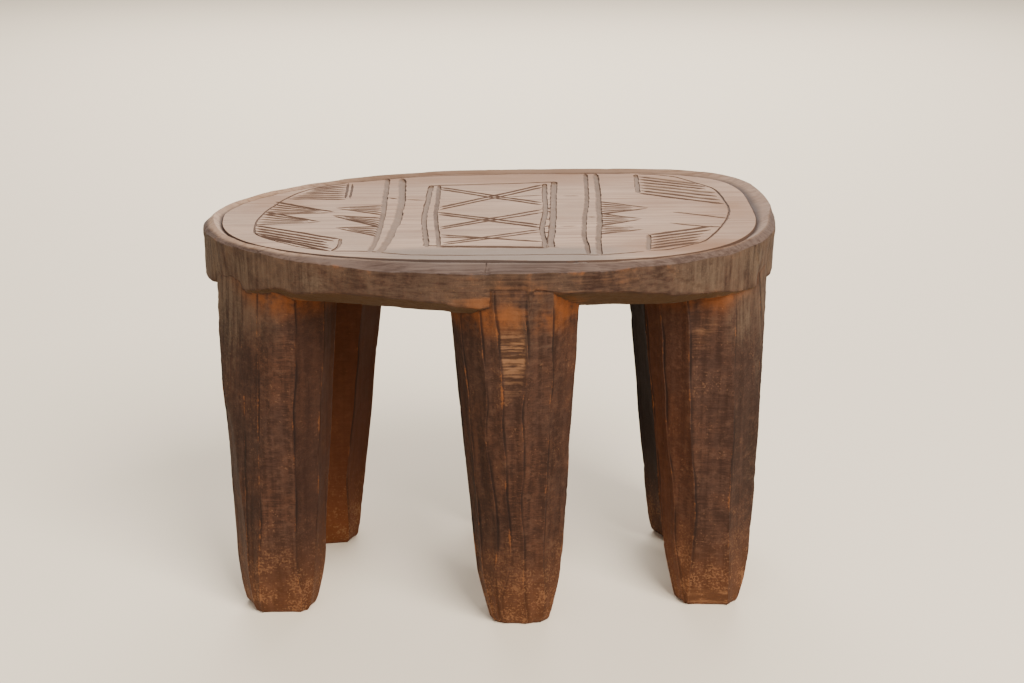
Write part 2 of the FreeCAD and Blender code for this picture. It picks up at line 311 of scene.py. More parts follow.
# Width, depth, shape and path of each stroke. A steep stroke is steep on the right of its path.
carving = {
    "lift": 2.0,             # how far a cutter stands above the panel
    "sectionStep": 4.0,
    "wander": 0.22,
    "apart": 3.0,            # strokes that come nearer are cut in separate passes
    "boxMargin": 6.0,
    "shapes": {
        "vee": ((-0.5, 0), (-0.07, 1), (0.07, 1), (0.5, 0)),
        "steep": ((-0.5, 0), (-0.12, 0.55), (0.2, 0.95), (0.38, 1), (0.5, 0)),
        "gouge": ((-0.5, 0), (-0.38, 0.8), (0, 1), (0.38, 0.85), (0.5, 0)),
    },
    "taper": {"vee": 5.0, "steep": 3.0, "gouge": 2.5},
    "strokes": [
        # pairs of bands across the seat
        (5.0, 1.7, "steep", [(-88, -85), (-84.5, -59), (-82, -22), (-80.5, 8), (-80, 51), (-79, 105)]),
        (7.0, 2.0, "steep", [(-81, -86), (-76, -60), (-72.5, -33), (-69.5, -6), (-68, 22), (-67, 51),
                             (-67.5, 105)]),
        (4.0, 1.6, "steep", [(68.5, -96), (68.5, -74), (68, -51), (69.5, -30), (72, -2), (74.5, 20),
                             (77, 50), (80.5, 114)]),
        (5.0, 1.8, "steep", [(76, -97), (76.5, -84), (78.5, -51), (82, -17), (84, 20), (86.5, 58),
                             (88.5, 114)]),
        (2.8, 1.2, "vee", [(-77, 51), (-70, 47)]),
        (2.8, 1.2, "vee", [(-63, 46), (-49, 44)]),
        (2.2, 1.1, "vee", [(74, -4), (80, -5)]),
        (1.8, 0.8, "vee", [(58.5, 52), (71, 51.5)]),
        (1.6, 0.7, "vee", [(52, -27), (64.5, -27.5)]),
        # frame in the middle
        (4.5, 1.6, "gouge", [(-47, -74), (-48, -44), (-49, -21), (-49, 2), (-46.5, 45), (-44, 85)]),
        (3.8, 1.6, "steep", [(-38.5, -72), (-39, -44), (-40, -21), (-40.5, 5), (-39, 44), (-38, 84)]),
        (5.5, 1.9, "gouge", [(43, -78), (43.5, -58), (46, -30), (48.5, 5), (50.5, 41), (54, 92)]),
        (4.3, 1.7, "gouge", [(38, -77), (38.5, -58), (38, -35), (39.5, -18), (43, 11), (44, 42), (46, 86)]),
        (2.3, 1.1, "vee", [(-46, 84), (56, 91)]),
        (2.2, 1.0, "vee", [(-50, -70.8), (48, -77.6)]),
        (3.0, 1.4, "vee", [(-40, -74), (40, -79)]),
        # chops between the two right strokes of the frame
        (3.0, 1.4, "gouge", [(39, 8), (48, 12)]),
        (2.6, 1.3, "gouge", [(40, 17), (48, 18)]),
        (2.4, 1.3, "gouge", [(39, -8), (46, -11)]),
        (2.4, 1.3, "gouge", [(39, -28), (46, -25)]),
        (2.4, 1.3, "gouge", [(38, -42), (45, -44)]),
        (2.6, 1.3, "gouge", [(38, -66), (44, -63)]),
        # three crosses of doubled strokes
        (3.6, 1.3, "vee", [(-37, 79), (41, 34)]),
        (3.6, 1.3, "vee", [(-37, 73), (41, 28)]),
        (3.6, 1.3, "vee", [(-37.5, 24), (44, 83)]),
        (3.2, 1.2, "vee", [(-37.5, 18), (44, 76.5)]),
        (2.2, 0.9, "vee", [(15, 52), (42.5, 53.5)]),
        (3.6, 1.3, "vee", [(-39.5, 12), (38, -24)]),
        (4.0, 1.3, "vee", [(-38, 6), (37.5, -30)]),
        (3.5, 1.3, "vee", [(-37.5, -27), (40, 15.5)]),
        (3.2, 1.2, "vee", [(-37.5, -31), (40, 8)]),
        (3.2, 1.2, "vee", [(-36.5, -45.5), (37, -64.5)]),
        (2.8, 1.1, "vee", [(-36.5, -51), (-6, -55)]),
        (2.8, 1.1, "vee", [(-35.5, -69), (36, -41)]),
        (3.0, 1.2, "vee", [(-35.5, -65), (36, -35)]),
        # arcs that close the fans at both ends
        (1.8, 1.0, "vee", [(-110, 94.5), (-131.5, 83), (-145.5, 70), (-156.5, 51), (-166, 28), (-171, 12),
                           (-174.5, -11), (-174, -30), (-171, -40.5), (-159.5, -54), (-139, -70),
                           (-115.5, -81)]),
        (2.0, 1.1, "vee", [(121, 112), (139, 109), (153, 101), (166, 86.5), (177, 70), (181, 54), (183, 29),
                           (183, 9), (178, -13), (171.5, -32), (163, -51), (154.5, -67), (140, -78),
                           (125, -86), (112.5, -87)]),
        # bars at the foot of the fans
        (2.2, 1.2, "vee", [(-110.5, 51), (-110, 93)]),
        (2.2, 1.2, "vee", [(-107, 51), (-106.5, 91)]),
        (3.0, 1.3, "gouge", [(-115, -81), (-110.5, -71), (-109.5, -52)]),
        (4.0, 1.5, "gouge", [(118, 58), (121, 110.5)]),
        (4.5, 1.4, "steep", [(111.5, -87), (115.5, -50)]),
        # thin lines
        (2.6, 1.0, "vee", [(139.5, 6), (181, -12)]),
        (2.6, 1.0, "vee", [(134, -22), (160, -31.5), (172.5, -33)]),
        (1.7, 0.8, "vee", [(-115.5, -81), (-89, -83), (-57.5, -91.5), (0, -94), (56.5, -94.5), (77, -97),
                           (108.5, -90)]),
        (1.7, 0.8, "vee", [(-107, 96), (-93.5, 99), (-81, 103), (-53, 110), (5, 115), (76, 115), (94, 115),
                           (117, 114)]),
    ],
    # a crack across the front of the rim: place, height of the wood there
    "crack": {"width": 0.8, "depth": 1.3,
              "path": [((-4.2, -108.5), 292.6), ((-4.8, -113), 293.2), ((-5.2, -117), 292.2),
                       ((-5.8, -120), 290.8), ((-6.0, -122), 289.9)]},
    # hatched fans: strokes from one line to another. Inner strokes go as far as stop and are drawn
    # in by narrow, and all start behind their line by back
    "fanStyle": {"depth": 1.4, "stop": 1.0, "narrow": 1.0, "back": 0.5},
    "fans": [
        {"start": [(-111, 88.5), (-111, 48.5)], "end": [(-136.5, 78.5), (-145, 68), (-155, 51)],
         "count": 8, "width": 3.6, "depth": 1.3},
        {"start": [(-172.5, -19), (-172, -30), (-171, -40.5), (-165, -47)],
         "end": [(-110, -53), (-113.5, -62), (-114, -75), (-116, -81)],
         "count": 6, "width": 3.8, "back": 3.0},
        {"start": [(123, 104), (119, 57.5)], "end": [(168, 82), (176.5, 68), (180, 53), (181, 25.5)],
         "count": 7, "width": 4.9},
        {"start": [(117, -51), (113.5, -83)], "end": [(165, -31), (163, -42), (150, -69)],
         "count": 6, "width": 4.4},
    ],
    # triangles: the outer strokes meet at the point, the inner ones stop short of it
    "triangleStyle": {"depth": 1.4, "narrow": 0.6, "back": 3.5},
    "triangles": [
        {"start": [(-161, 41), (-166, 11)], "end": [(-117, 14.5), (-119, 13)],
         "count": 6, "width": 4.2, "stop": 0.8},
        {"start": [(-167, 15), (-172, -15)], "end": [(-126.5, -10), (-128, -11.5)],
         "count": 6, "width": 4.0, "stop": 0.8},
        {"start": [(-83, 29), (-83, 7)], "end": [(-117, 25.5), (-116, 24)],
         "count": 5, "width": 4.1, "stop": 0.75},
        {"start": [(-84, -2), (-82, -25)], "end": [(-119, 6.5), (-118, 5)],
         "count": 5, "width": 4.1, "stop": 0.75},
        {"start": [(-83, -24), (-84, -46)], "end": [(-114.5, -25.5), (-113, -27)],
         "count": 5, "width": 4.1, "stop": 0.75},
        {"start": [(87, 35), (84.5, 3)], "end": [(122, 18), (121, 16.5)],
         "count": 6, "width": 4.2, "stop": 0.7},
        {"start": [(84.5, 4), (82, -27)], "end": [(114.5, -10.5), (113.5, -12)],
         "count": 6, "width": 4.2, "stop": 0.7},
        {"start": [(83.5, -24), (81.5, -47)], "end": [(114.5, -35.5), (113.5, -37)],
         "count": 5, "width": 4.2, "stop": 0.7},
    ],
}


def alongLine(points, share):
    # the point at a share of a line's length
    runs = [(Vector(b) - Vector(a)).length for a, b in zip(points, points[1:])]
    left = share * sum(runs)
    for start, end, run in zip(points, points[1:], runs):
        if left <= run:
            return Vector(start).lerp(Vector(end), left / run)
        left -= run
    return Vector(points[-1])


def fanStrokes(fan):
    strokes = []
    for k in range(fan["count"]):
        share = k / (fan["count"] - 1)
        isInner = 0 < k < fan["count"] - 1
        start, end = alongLine(fan["start"], share), alongLine(fan["end"], share)
        if isInner:
            end = start.lerp(end, fan["stop"] * dice.uniform(0.9, 1.0))
            start = start.lerp(end, dice.uniform(0.0, 0.03))
        start -= (end - start).normalized() * fan["back"]
        width = fan["width"] * dice.uniform(0.85, 1.1)
        if isInner:
            width *= 0.55 + 0.45 * fan["narrow"]
        depth = fan["depth"] * dice.uniform(0.8, 1.15)
        strokes.append((width, depth, "vee", [start, end], fan["narrow"]))
    return strokes


def smoothPath(points, step):
    # a smooth line through the points, with a spot at about every step
    spots = [Vector(p) for p in points]
    path = []
    for k in range(len(spots) - 1):
        before, here = spots[max(k - 1, 0)], spots[k]
        following, after = spots[k + 1], spots[min(k + 2, len(spots) - 1)]
        count = max(2, round((following - here).length / step))
        for j in range(count):
            t = j / count
            path.append(0.5 * (2 * here + (following - before) * t
                               + (2 * before - 5 * here + 4 * following - after) * t ** 2
                               + (3 * here - before - 3 * following + after) * t ** 3))
    path.append(spots[-1])
    return path


def strokeSections(stroke):
    # the cutter's middle, sideways direction, width, depth and ground height along a stroke
    width, depth, shape, points = stroke[:4]
    narrow = stroke[4] if len(stroke) > 4 else 1.0
    path = smoothPath(points, carving["sectionStep"])
    total = sum((b - a).length for a, b in zip(path, path[1:]))
    taper = min(carving["taper"][shape], total * 0.4)
    sections, gone = [], 0.0
    for k, spot in enumerate(path):
        ahead = (path[min(k + 1, len(path) - 1)] - path[max(k - 1, 0)]).normalized()
        across = Vector((ahead.y, -ahead.x))
        if k:
            gone += (spot - path[k - 1]).length
        full = clamp(min(gone, total - gone) / taper, 0.2) ** 0.7 * (1 + (narrow - 1) * gone / total)
        middle = spot + across * carving["wander"] * dice.uniform(-1, 1)
        sections.append((middle, across, width * full * dice.uniform(0.88, 1.12),
                         depth * full * dice.uniform(0.85, 1.12),
                         seatShape["panel"] + panelWave(middle.x, middle.y)))
    return shape, sections


def addCutter(bm, shape, sections):
    outline = carving["shapes"][shape]
    for v, side, ring in prism(bm, len(outline) + 2, len(sections)):
        middle, across, width, depth, ground = sections[ring]
        if side < len(outline):
            sideways, drop = outline[side]
            height = -drop * depth
        else:
            sideways = (0.5, -0.5)[side - len(outline)]
            height = carving["lift"]
        v.co = (*(middle + across * sideways * width), ground + height)


def crackSections():
    crack = carving["crack"]
    sections = []
    for spot, height in crack["path"]:
        middle = Vector(spot)
        sections.append((middle, Vector((1, 0)), crack["width"], crack["depth"], height))
    return "vee", sections


def touching(first, second):
    for a in first[1]:
        for b in second[1]:
            if (a[0] - b[0]).length < (a[2] + b[2]) / 2 + carving["apart"]:
                return True
    return False


def boxOf(sections):
    xs, ys = [s[0].x for s in sections], [s[0].y for s in sections]
    margin = carving["boxMargin"]
    return min(xs) - margin, min(ys) - margin, max(xs) + margin, max(ys) + margin


def cutterGroups(strokes):
    # strokes that cross are cut one after another, so a cutter never overlaps itself
    groups = []
    for stroke in strokes:
        left, front, right, back = boxOf(stroke[1])
        for group in groups:
            for other in group:
                otherLeft, otherFront, otherRight, otherBack = boxOf(other[1])
                beside = otherRight <= left or right <= otherLeft
                if not (beside or otherBack <= front or back <= otherFront) and touching(stroke, other):
                    break
            else:
                group.append(stroke)
                break
        else:
            groups.append([stroke])
    return groups


def carvePanel(seat):
    strokes = list(carving["strokes"])
    for kind, style in (("fans", "fanStyle"), ("triangles", "triangleStyle")):
        for fan in carving[kind]:
            strokes += fanStrokes({**carving[style], **fan})
    groups = cutterGroups([strokeSections(s) for s in strokes] + [crackSections()])
    for group in groups:
        bm = bmesh.new()
        for shape, sections in group:
            addCutter(bm, shape, sections)
        bmesh.ops.recalc_face_normals(bm, faces=bm.faces)
        cutter = makeObject("cutter", bm)
        cutAway(seat, cutter)
        discard(cutter)
    print("carving:", len(strokes), "strokes in", len(groups), "passes")


# Places on the seat that differ: middle, reach along each axis, strength
seatWear = {
    "grey": [
        ((-128, -86, 276), (17, 30, 14), 1.0),
        ((-206, -20, 276), (14, 45, 22), 1.0),
        ((-178, -62, 278), (26, 26, 16), 0.7),
        ((150, -92, 278), (26, 26, 16), 0.9),
        ((190, -62, 276), (18, 34, 18), 1.0),
        ((214, 0, 274), (12, 60, 24), 0.8),
        ((-60, 122, 276), (40, 20, 14), 0.7),
        ((120, 116, 276), (50, 20, 14), 0.7),
    ],
    # orange places: raw wood, and painted warm bounce light on the underside and beneath the band
    "rawAndBounce": [
        ((-6, -122, 267), (24, 20, 6), 1.0),
        ((13, -124, 260), (13, 20, 9), 0.9),
        ((20, -122, 276), (40, 20, 14), 0.62),
        ((78, -118, 280), (50, 20, 14), 0.56),
        ((205, -50, 258), (12, 25, 6), 0.5),
        ((-214, 0, 256), (10, 30, 3), 0.8),
        ((10, 122, 268), (45, 20, 8), 0.6),
        ((58, -100, 266), (15, 25, 12), 0.7),
        ((-150, -78, 255), (34, 30, 5), 0.8),
        ((165, -72, 254), (36, 30, 4), 0.8),
    ],
    # darker, warmer parts of the panel
    "aged": [
        ((20, 105, 293), (170, 26, 30), 1.0),
        ((155, -76, 293), (60, 26, 30), 1.2),
        ((190, 0, 293), (50, 80, 30), 0.8),
        ((150, 95, 293), (50, 30, 30), 0.8),
        ((184, 20, 293), (26, 24, 30), 1.15),
        ((138, 40, 293), (34, 36, 30), 0.6),
        ((-165, 42, 293), (30, 34, 30), 0.75),
        ((-60, 30, 293), (60, 40, 30), 0.4),
    ],
}


def nearSpots(point, spots):
    # how close a point is to any of the listed places, 0 to 1
    best = 0.0
    for middle, reach, strength in spots:
        gap = sum(((p - m) / r) ** 2 for p, m, r in zip(point, middle, reach))
        best = max(best, strength * math.exp(-gap))
    return best


def finishSeat(seat):
    bm = bmesh.new()
    bm.from_mesh(seat.data)
    bm.normal_update()
    zone = bm.verts.layers.float["zone"]
    names = ("carve", "endGrain", "grey", "rawAndBounce", "aged")
    carve, endGrain, grey, rawAndBounce, aged = (bm.verts.layers.float.new(n) for n in names)
    wall = bm.faces.layers.float.new("wall")
    topFrom = seatShape["topFrom"]
    for v in bm.verts:
        v[endGrain] = v.normal.x ** 2
        v[grey] = nearSpots(v.co, seatWear["grey"])
        v[rawAndBounce] = nearSpots(v.co, seatWear["rawAndBounce"])
        v[aged] = nearSpots(v.co, seatWear["aged"])
        if v.co.z > topFrom and insidePanel(v.co.x, v.co.y) < 1.0:
            v[zone] = 5.0
            v[carve] = clamp(seatShape["panel"] + panelWave(v.co.x, v.co.y) - v.co.z, 0, 2.5)
    cracked = {v for v in bm.verts if v[zone] == 0 and v.co.z > topFrom}
    # the crack's faces and the steep groove walls are marked, to be darkened: old dirt and painted shade
    for face in bm.faces:
        if all(v in cracked for v in face.verts):
            face[wall] = 1.0
        elif face.calc_center_median().z > topFrom and max(v[carve] for v in face.verts) > 0.25:
            face[wall] = ease(1 - abs(face.normal.z), 0.04, 0.22)
    for v in cracked:                # coloured as the rim above and as the band below
        v[zone] = 2.6 if v.co.z > 289.4 else 1.8
    settle(seat, bm, seatShape["crease"])


seatBlock = makeObject("seatBlock", seatBlank())
print("seat blank:", len(seatBlock.data.vertices), "vertices")
seat = seatBlock.copy()
seat.data = seatBlock.data.copy()
seat.name = "carvedSeat"
bpy.context.scene.collection.objects.link(seat)
carvePanel(seat)
finishSeat(seat)
print("seat:", len(seat.data.polygons), "faces")


# Facets face the given directions, in degrees from the right end of the seat, each with a share of painted
# shade that darkens it.
# endInset and sideInset: how far a leg's top stays inside the seat's outline. Grey and orange places are
# given as on the seat:
# grey is weathered wood, and the orange is raw wood together with painted warm bounce light under the seat.
# Inward-facing facets take a red heartwood tone by a given share, which also paints shade and warm bounce
# light there. A split is a ribbed bare patch, and a flare or toe cuts a facet back.
legShapes = {
    "legFrontLeft": {
        "node": "leg_front_left", "seed": 1,
        "middle": (-158, -40), "footStep": (-4, -16), "topWidth": 88,
        "facets": (-156, -129, -93, -55, -22, 15, 60, 105, 150),
        "facetShade": (0.15, 0.2, 0, 0.45, 0.4, 0, 0, 0, 0.2),
        "sideInset": 10.0, "endInset": 0.9, "innerHeartAndShade": 0.3, "flush": 1.0,
        "grey": [((-204, -58, 235), (16, 30, 60), 1.0), ((-200, -60, 150), (16, 30, 40), 0.4)],
        "flare": {"facet": 2, "low": -1, "high": 0, "cut": 1.2},
    },
    "legFrontCentre": {
        "node": "leg_front_centre", "seed": 2,
        "middle": (16, -86), "footStep": (4, 7), "topWidth": 95.5, "ankle": (65, 59),
        "facets": (-155, -129, -110, -95, -78, -46, -5, 45, 90, 135, 180),
        "facetShade": (0.3, 0.15, 0, 0, 0, 0, 0, 0, 0, 0, 0.2),
        "sideInset": 0.9, "endInset": 0.9, "innerHeartAndShade": 0.3, "flush": 0.7,
        "grey": [((38, -122, 235), (14, 20, 26), 0.5)],
        "rawAndBounce": [((13, -124, 258), (14, 20, 12), 0.95), ((20, -124, 274), (40, 20, 14), 0.62)],
        "split": {"facet": 3, "low": 182, "high": 256, "peak": 227, "span": 1.0, "depth": 1.1, "pale": 0.85},
        "flare": {"facet": 3, "low": 190, "high": 250, "cut": 1.1},
    },
    "legFrontRight": {
        "node": "leg_front_right", "seed": 3,
        "middle": (160, -38), "footStep": (7, -17), "topWidth": 95, "ankle": (64, 59),
        "facets": (-152, -126, -94, -45, 0, 40, 85, 130, 170),
        "facetShade": (0, 0, 0, 0.2, 0.12, 0, 0, 0, 0),
        "sideInset": 8.0, "endInset": 2.4, "innerHeartAndShade": 0.5, "flush": 1.0,
        "grey": [((190, -70, 235), (16, 26, 34), 0.7), ((206, -40, 200), (14, 40, 70), 0.75),
                 ((200, -55, 110), (16, 36, 60), 0.6)],
        "split": {"facet": 2, "low": 196, "high": 244, "peak": 232, "span": 0.6, "depth": 0.5, "pale": 0.42},
        "toe": {"facet": 2, "height": 17, "cut": 1.5},
    },
    "legBackLeft": {
        "node": "leg_back_left", "seed": 4,
        "middle": (-125, 66), "footStep": (-9, -3), "topWidth": 93, "ankle": (55, 59),
        "facets": (-150, -115, -80, -30, 10, 50, 90, 130, 170),
        "facetShade": (0, 0, 0, 0.3, 0, 0, 0, 0, 0),
        "sideInset": 5.0, "endInset": 0.9, "innerHeartAndShade": 1.0,
        "grey": [((-165, 80, 200), (30, 40, 70), 0.6)],
    },
    "legBackCentre": {
        "node": "leg_back_centre", "seed": 5,
        "middle": (16, 84), "footStep": (5, -5), "topWidth": 92,
        "facets": (-165, -125, -90, -50, -15, 25, 60, 90, 120, 155),
        "facetShade": (0,) * 10,
        "sideInset": 4.0, "endInset": 0.9, "innerHeartAndShade": 1.0,
        "grey": [((16, 125, 220), (30, 20, 50), 0.6)],
    },
    "legBackRight": {
        "node": "leg_back_right", "seed": 6,
        "middle": (157, 60), "footStep": (8, -5), "topWidth": 95,
        "facets": (-155, -125, -90, -50, -10, 30, 70, 110, 150),
        "facetShade": (0.9, 0.85, 0.5, 0, 0, 0, 0, 0, 0.6),
        "sideInset": 5.0, "endInset": 2.4, "innerHeartAndShade": 0.5,
        "grey": [((195, 80, 210), (30, 40, 60), 0.6)],
    },
}
legBuild = {
    "columns": 16,           # columns of faces on each facet, closer together beside its ridges
    "rings": 190,
    "ringCrowding": 1.25,    # above 1 the rings stand closer together towards the foot
    "blankTop": 276.0,       # the blank runs into the seat and is then cut to its underside
    "fullHeight": 270.0,
    "ankleHeight": 45.0,
    "ankleCurve": 1.25,      # above 1 the leg curves in below the ankle
    "topDepth": 79.0,
    "ankle": (62.0, 59.0),
    "foot": (44.6, 44.0),
    "footSquareness": 0.6,   # how far a foot's plan goes from an ellipse to a rectangle
    "squareBelow": 70.0,
    "sway": 5.5,             # degrees that a facet turns as it runs down the leg
    "drift": 0.6,            # how far it wanders in and out
    "hollow": 0.5,
    "scallop": 0.3,          # depth of the long adze strokes
    "notch": 0.75,           # depth of the cut that follows one side of a ridge
    "notchPlace": 0.8,       # where it is deepest, from the ridge
    "ridgeWear": 2.2,        # how far from a ridge its wear reaches
    "flush": 0.3,            # how far a leg's top takes the band's colour
    "footReach": 14.1,       # how far outside the seat's outline the feet may stand
    "trimStep": 0.3,
    "crease": 24,
}


def facetSeed(leg, number):
    return leg["seed"] * 20.7 + number * 1.9


def legSection(leg, height):
    ankle, foot = leg.get("ankle", legBuild["ankle"]), legBuild["foot"]
    if height < legBuild["ankleHeight"]:
        share = 1 - (1 - height / legBuild["ankleHeight"]) ** legBuild["ankleCurve"]
        return [f + (a - f) * share for f, a in zip(foot, ankle)]
    top = (leg["topWidth"], legBuild["topDepth"])
    share = (height - legBuild["ankleHeight"]) / (legBuild["fullHeight"] - legBuild["ankleHeight"])
    return [a + (t - a) * share for a, t in zip(ankle, top)]


def legFacets(leg, height):
    # the direction and distance of each facet at a height, and the corners between them
    width, depth = legSection(leg, height)
    power = 2 - legBuild["footSquareness"] * (1 - ease(height, 0, legBuild["squareBelow"]))
    flats = []
    for number, facing in enumerate(leg["facets"]):
        seed = facetSeed(leg, number)
        turn = noise.noise(Vector((seed, height / 62, 0)))
        turn += 0.35 * noise.noise(Vector((seed, height / 24, 3)))
        angle = math.radians(facing + legBuild["sway"] * turn)
        along, across = abs(width / 2 * math.cos(angle)), abs(depth / 2 * math.sin(angle))
        away = (along ** power + across ** power) ** (1 / power)
        away += legBuild["drift"] * noise.noise(Vector((seed, height / 45, 5)))
        toe = leg.get("toe")
        if toe and toe["facet"] == number and height < toe["height"]:
            away -= toe["cut"] * (1 - height / toe["height"])
        flare = leg.get("flare")
        if flare and flare["facet"] == number:
            away -= flare["cut"] * ease(height, flare["low"], flare["high"])
        flats.append((angle, away))
    corners = []
    for (here, near), (following, far) in zip(flats, flats[1:] + flats[:1]):
        spread = math.sin(following - here)
        corners.append(Vector(((near * math.sin(following) - far * math.sin(here)) / spread,
                               (far * math.cos(here) - near * math.cos(following)) / spread)))
    return flats, corners


def facetRelief(leg, number, spot, fromLeft, fromRight):
    # how far a point on a facet is pushed out, how bare its wood is, and how deep in a notch it lies, which
    # also sets the painted shade in the notch
    seed = facetSeed(leg, number)
    height = spot.z
    ridge = min(fromLeft, fromRight)
    inner = ease(ridge, 0, 7)
    strokes = height / (46 + 13 * (number % 4)) + 0.37 * seed
    strokes += 0.25 * noise.noise(Vector((seed, height / 25, fromLeft / 20)))
    push = -inner * (legBuild["scallop"] * abs(math.sin(math.pi * strokes)) + legBuild["hollow"])
    gate = clamp(0.6 + 1.1 * noise.noise(Vector((seed, height / 38, 9))))
    away = fromLeft / legBuild["notchPlace"]
    notchAndShade = gate * away * math.exp(1 - away)
    push -= legBuild["notch"] * notchAndShade
    push -= max(0, ripple(*spot, 8) - 0.25) * 0.9 * clamp(1 - ridge / 2.5)
    push -= 0.14 * ripple(*spot, 3.5) + 1.3 * clamp(1 - height / 3.5) ** 2
    bare = 0.0
    split = leg.get("split")
    if split and split["facet"] == number:
        bare = ease(height, split["low"], split["low"] + 14) * ease(split["high"] - height, 0, 12)
        bare *= ease(split["span"] * (fromLeft + fromRight) - fromLeft, -4, 4)
        bare *= ease(ridge, 0, 3) * (0.4 + 0.6 * math.exp(-((height - split["peak"]) / 18) ** 2))
        rib = abs(math.sin(height / 1.9 + 2.2 * ripple(spot.x, spot.y, height, 9)))
        push -= split["depth"] * bare * (0.4 + 0.6 * rib + 0.8 * ripple(spot.x, spot.y, height * 2, 7))
        bare *= split["pale"]
    toe = leg.get("toe")
    if toe and toe["facet"] == number:
        bare = max(bare, ease(toe["height"] - height, 0, 2))
    return push, bare, notchAndShade


def insideSeat(leg, spot):
    # below 1 inside the outline that limits a leg, which the band overhangs along the sides
    drop = 1 - spot.z / legBuild["fullHeight"]
    end, side, reach = leg["endInset"], leg["sideInset"], legBuild["footReach"]
    return ovalReach(spot.x, spot.y, seatShape["halfLength"] - end + (end + reach) * drop,
                     seatShape["halfWidth"] - side + (side + reach) * drop, seatShape["bluntness"])


def makeLeg(name, leg):
    bm = bmesh.new()
    names = ("wear", "bare", "recessBounce", "notchAndShade", "innerHeartAndShade", "endGrain", "grey", "rawAndBounce", "facetShade", "flush")
    wear, bare, recessBounce, notchAndShade, innerHeartAndShade, endGrain, grey, rawAndBounce, facetShade, flush = (
        bm.verts.layers.float.new(n) for n in names)
    inward = -Vector(leg["middle"]).normalized()
    columns, rings = legBuild["columns"], legBuild["rings"]
    levels = {}
    for v, side, ring in prism(bm, columns * len(leg["facets"]), rings):
        height = legBuild["blankTop"] * (ring / (rings - 1)) ** legBuild["ringCrowding"]
        if ring not in levels:
            levels[ring] = legFacets(leg, height)
        flats, corners = levels[ring]
        number, step = side // columns, (side % columns) / columns
        share = 0.35 * step + 0.325 * (1 - math.cos(math.pi * step))
        left, right = corners[number - 1], corners[number]
        lift = height / legBuild["fullHeight"]
        middle = Vector(leg["middle"]) + Vector(leg["footStep"]) * (1 - lift)
        spot = (middle + left.lerp(right, share)).to_3d()
        spot.z = height
        across = (right - left).length
        push, v[bare], v[notchAndShade] = facetRelief(leg, number, spot, share * across, (1 - share) * across)
        angle = flats[number][0]
        facing = Vector((math.cos(angle), math.sin(angle)))
        spot += facing.to_3d() * push
        # inward-facing facets turn red: heartwood colour, with painted shade and warm bounce light
        v[innerHeartAndShade] = leg["innerHeartAndShade"] * ease(facing.dot(inward), 0.0, 0.8)
        v[endGrain] = facing.x ** 2
        v[grey] = nearSpots(spot, leg["grey"])
        v[rawAndBounce] = nearSpots(spot, leg.get("rawAndBounce", []))
        while insideSeat(leg, spot) > 1:
            spot -= (spot - middle.to_3d()).to_2d().to_3d().normalized() * legBuild["trimStep"]
        v.co = spot
        v[wear] = clamp(1 - min(share, 1 - share) * across / legBuild["ridgeWear"])
        gap = 1 - ovalReach(spot.x, spot.y, seatShape["halfLength"], seatShape["halfWidth"],
                            seatShape["bluntness"])
        # painted warm bounce light on the leg's top where it stands in the shade under the seat
        v[recessBounce] = ease(height, 234, 256) * ease(gap, 0.012, 0.027)
        v[flush] = leg.get("flush", legBuild["flush"]) * ease(height, 200, 250)
        v[flush] *= 1 - ease(gap, 0.014, 0.045)
        # painted shade that darkens whole facets
        v[facetShade] = leg["facetShade"][number] * (1 - v[flush])
    bmesh.ops.recalc_face_normals(bm, faces=bm.faces)
    piece = makeObject(name, bm)
    cutAway(piece, seatBlock)
    bm = bmesh.new()
    bm.from_mesh(piece.data)
    settle(piece, bm, legBuild["crease"])
    print(name + ":", len(piece.data.polygons), "faces")
    return piece


legs = {name: makeLeg(name, leg) for name, leg in legShapes.items()}
discard(seatBlock)


class Wire:
    # a node's socket that takes part in sums
    tree = None

    def __init__(self, socket):
        self.socket = socket

    @classmethod
    def node(cls, kind, settings=None, sockets=None, out=0):
        made = cls.tree.nodes.new("ShaderNode" + kind)
        for name, value in (settings or {}).items():
            setattr(made, name, value)
        for name, value in (sockets or {}).items():
            if isinstance(value, Wire):
                cls.tree.links.new(value.socket, made.inputs[name])
            else:
                made.inputs[name].default_value = value
        return cls(made.outputs[out])

    @classmethod
    def maths(cls, operation, first, second):
        return cls.node("Math", {"operation": operation}, {0: first, 1: second})

    def __add__(self, other):
        return self.maths("ADD", self, other)

    def __radd__(self, other):
        return self.maths("ADD", other, self)

    def __sub__(self, other):
        return self.maths("SUBTRACT", self, other)

    def __rsub__(self, other):
        return self.maths("SUBTRACT", other, self)

    def __mul__(self, other):
        return self.maths("MULTIPLY", self, other)

    def __rmul__(self, other):
        return self.maths("MULTIPLY", other, self)


def between(value, low, high):
    # 0 below low, 1 above high, smooth in between
    return Wire.node("MapRange", {"interpolation_type": "SMOOTHSTEP"},
                     {"Value": value, "From Min": low, "From Max": high})


def tint(share, first, second):
    # the first colour, going over to the second by a share
    colours = [c if isinstance(c, Wire) else (*c, 1) for c in (first, second)]
    return Wire.node("Mix", {"data_type": "RGBA"}, {0: share, 6: colours[0], 7: colours[1]}, out=2)


# How often each noise repeats per metre along each axis, its detail and its roughness
woodGrain = {
    "streak": ((8, 380, 380), 4, 0.55),
    "hair": ((38, 1300, 1300), 3, 0.65),
    "checks": ((330, 330, 14), 4, 0.55),     # upright streaks on end grain
    "strokes": ((210, 210, 11), 3, 0.55),    # upright tool strokes
    "cloud": ((13, 13, 13), 4, 0.55),
    "patch": ((70, 70, 55), 4, 0.65),
    "fleck": ((620, 620, 620), 2, 0.55),
    "mottle": ((170, 170, 200), 3, 0.6),
    "drawn": ((9, 30, 30), 4, 0.55),         # long soft bands on the panel
}


def grain(place, name):
    stretch, detail, roughness = woodGrain[name]
    spot = Wire.node("VectorMath", {"operation": "MULTIPLY"}, {0: place, 1: stretch})
    return Wire.node("TexNoise", None, {"Vector": spot, "Scale": 1.0, "Detail": detail,
                                        "Roughness": roughness})


def attribute(name):
    return Wire.node("Attribute", {"attribute_name": name}, out="Fac")
